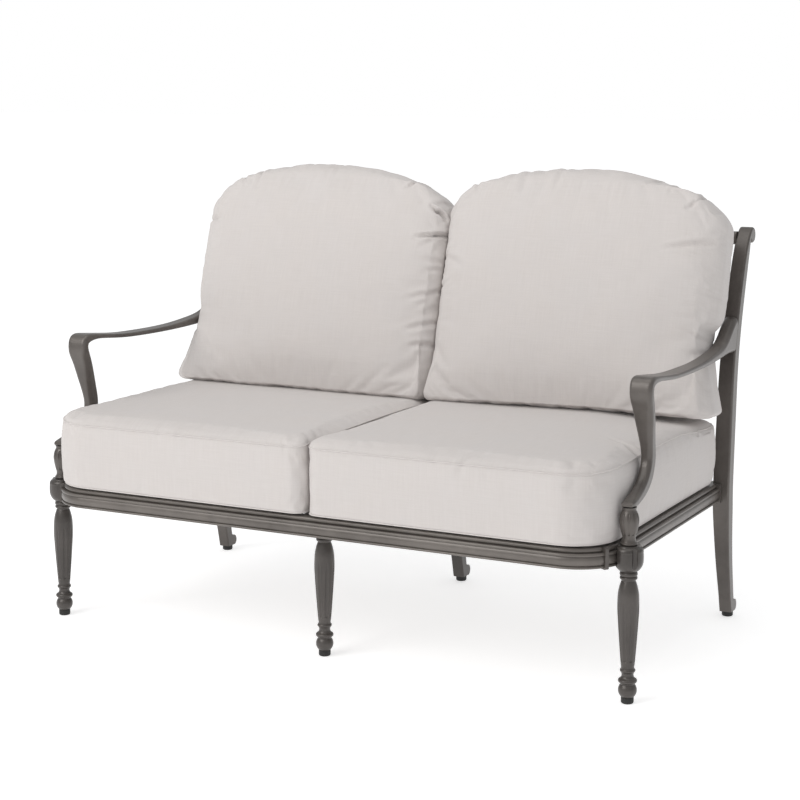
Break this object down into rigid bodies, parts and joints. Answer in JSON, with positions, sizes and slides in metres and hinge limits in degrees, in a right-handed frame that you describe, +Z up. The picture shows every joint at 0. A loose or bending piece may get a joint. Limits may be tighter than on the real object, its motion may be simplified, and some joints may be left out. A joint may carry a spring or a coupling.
{
  "type": "patio loveseat",
  "caption": "Outdoor loveseat with a cast metal frame, turned legs, open scrolled arms, a barred back and loose boxed seat and back cushions.",
  "frame": {"origin": "on the floor under the middle of the loveseat, at the bottom centre of its bounding box", "axes": "+X to the viewer's right as one faces the seat, -Y to the front, +Y to the back, +Z up"},
  "size_m": [1.3454, 0.846, 0.9517],
  "materials": {
    "frame_finish": "satin",
    "cushion_fabric": "matte",
    "glide_rubber": "matte"
  },
  "bodies": {
    "frame": {"arm_baluster_left": "frame_finish", "arm_baluster_right": "frame_finish", "arm_left": "frame_finish", "arm_right": "frame_finish", "back_spindle_1": "frame_finish", "back_spindle_2": "frame_finish", "back_spindle_3": "frame_finish", "back_spindle_4": "frame_finish", "back_spindle_5": "frame_finish", "back_spindle_6": "frame_finish", "back_spindle_7": "frame_finish", "back_spindle_8": "frame_finish", "back_spindle_9": "frame_finish", "centre_stretcher": "frame_finish", "corner_rail_left": "frame_finish", "corner_rail_right": "frame_finish", "crest_rail": "frame_finish", "front_collar_left": "frame_finish", "front_collar_right": "frame_finish", "front_leg_left": "frame_finish", "front_leg_middle": "frame_finish", "front_leg_right": "frame_finish", "front_rail": "frame_finish", "glide_front_left": "glide_rubber", "glide_front_middle": "glide_rubber", "glide_front_right": "glide_rubber", "glide_rear_left": "glide_rubber", "glide_rear_middle": "glide_rubber", "glide_rear_right": "glide_rubber", "leg_block_left": "frame_finish", "leg_block_right": "frame_finish", "rear_collar_left": "frame_finish", "rear_collar_right": "frame_finish", "rear_leg_middle": "frame_finish", "rear_post_left": "frame_finish", "rear_post_right": "frame_finish", "rear_seat_rail": "frame_finish", "seat_slat_left_1": "frame_finish", "seat_slat_left_2": "frame_finish", "seat_slat_left_3": "frame_finish", "seat_slat_left_4": "frame_finish", "seat_slat_left_5": "frame_finish", "seat_slat_right_1": "frame_finish", "seat_slat_right_2": "frame_finish", "seat_slat_right_3": "frame_finish", "seat_slat_right_4": "frame_finish", "seat_slat_right_5": "frame_finish", "side_collar_left": "frame_finish", "side_collar_right": "frame_finish", "side_rail_left": "frame_finish", "side_rail_right": "frame_finish"},
    "seat_cushion_left": {"seat_cushion_left": "cushion_fabric"},
    "seat_cushion_right": {"seat_cushion_right": "cushion_fabric"},
    "back_cushion_left": {"back_cushion_left": "cushion_fabric"},
    "back_cushion_right": {"back_cushion_right": "cushion_fabric"}
  },
  "joints": [
    {"name": "seat_cushion_left_slides_out", "type": "slide", "parent": "frame", "child": "seat_cushion_left", "axis": [0, -1, 0], "range_m": [0, 0.7]},
    {"name": "seat_cushion_right_slides_out", "type": "slide", "parent": "frame", "child": "seat_cushion_right", "axis": [0, -1, 0], "range_m": [0, 0.7]},
    {"name": "back_cushion_left_lifts_off", "type": "slide", "parent": "frame", "child": "back_cushion_left", "axis": [0, 0, 1], "range_m": [0, 0.6]},
    {"name": "back_cushion_right_lifts_off", "type": "slide", "parent": "frame", "child": "back_cushion_right", "axis": [0, 0, 1], "range_m": [0, 0.6]}
  ]
}
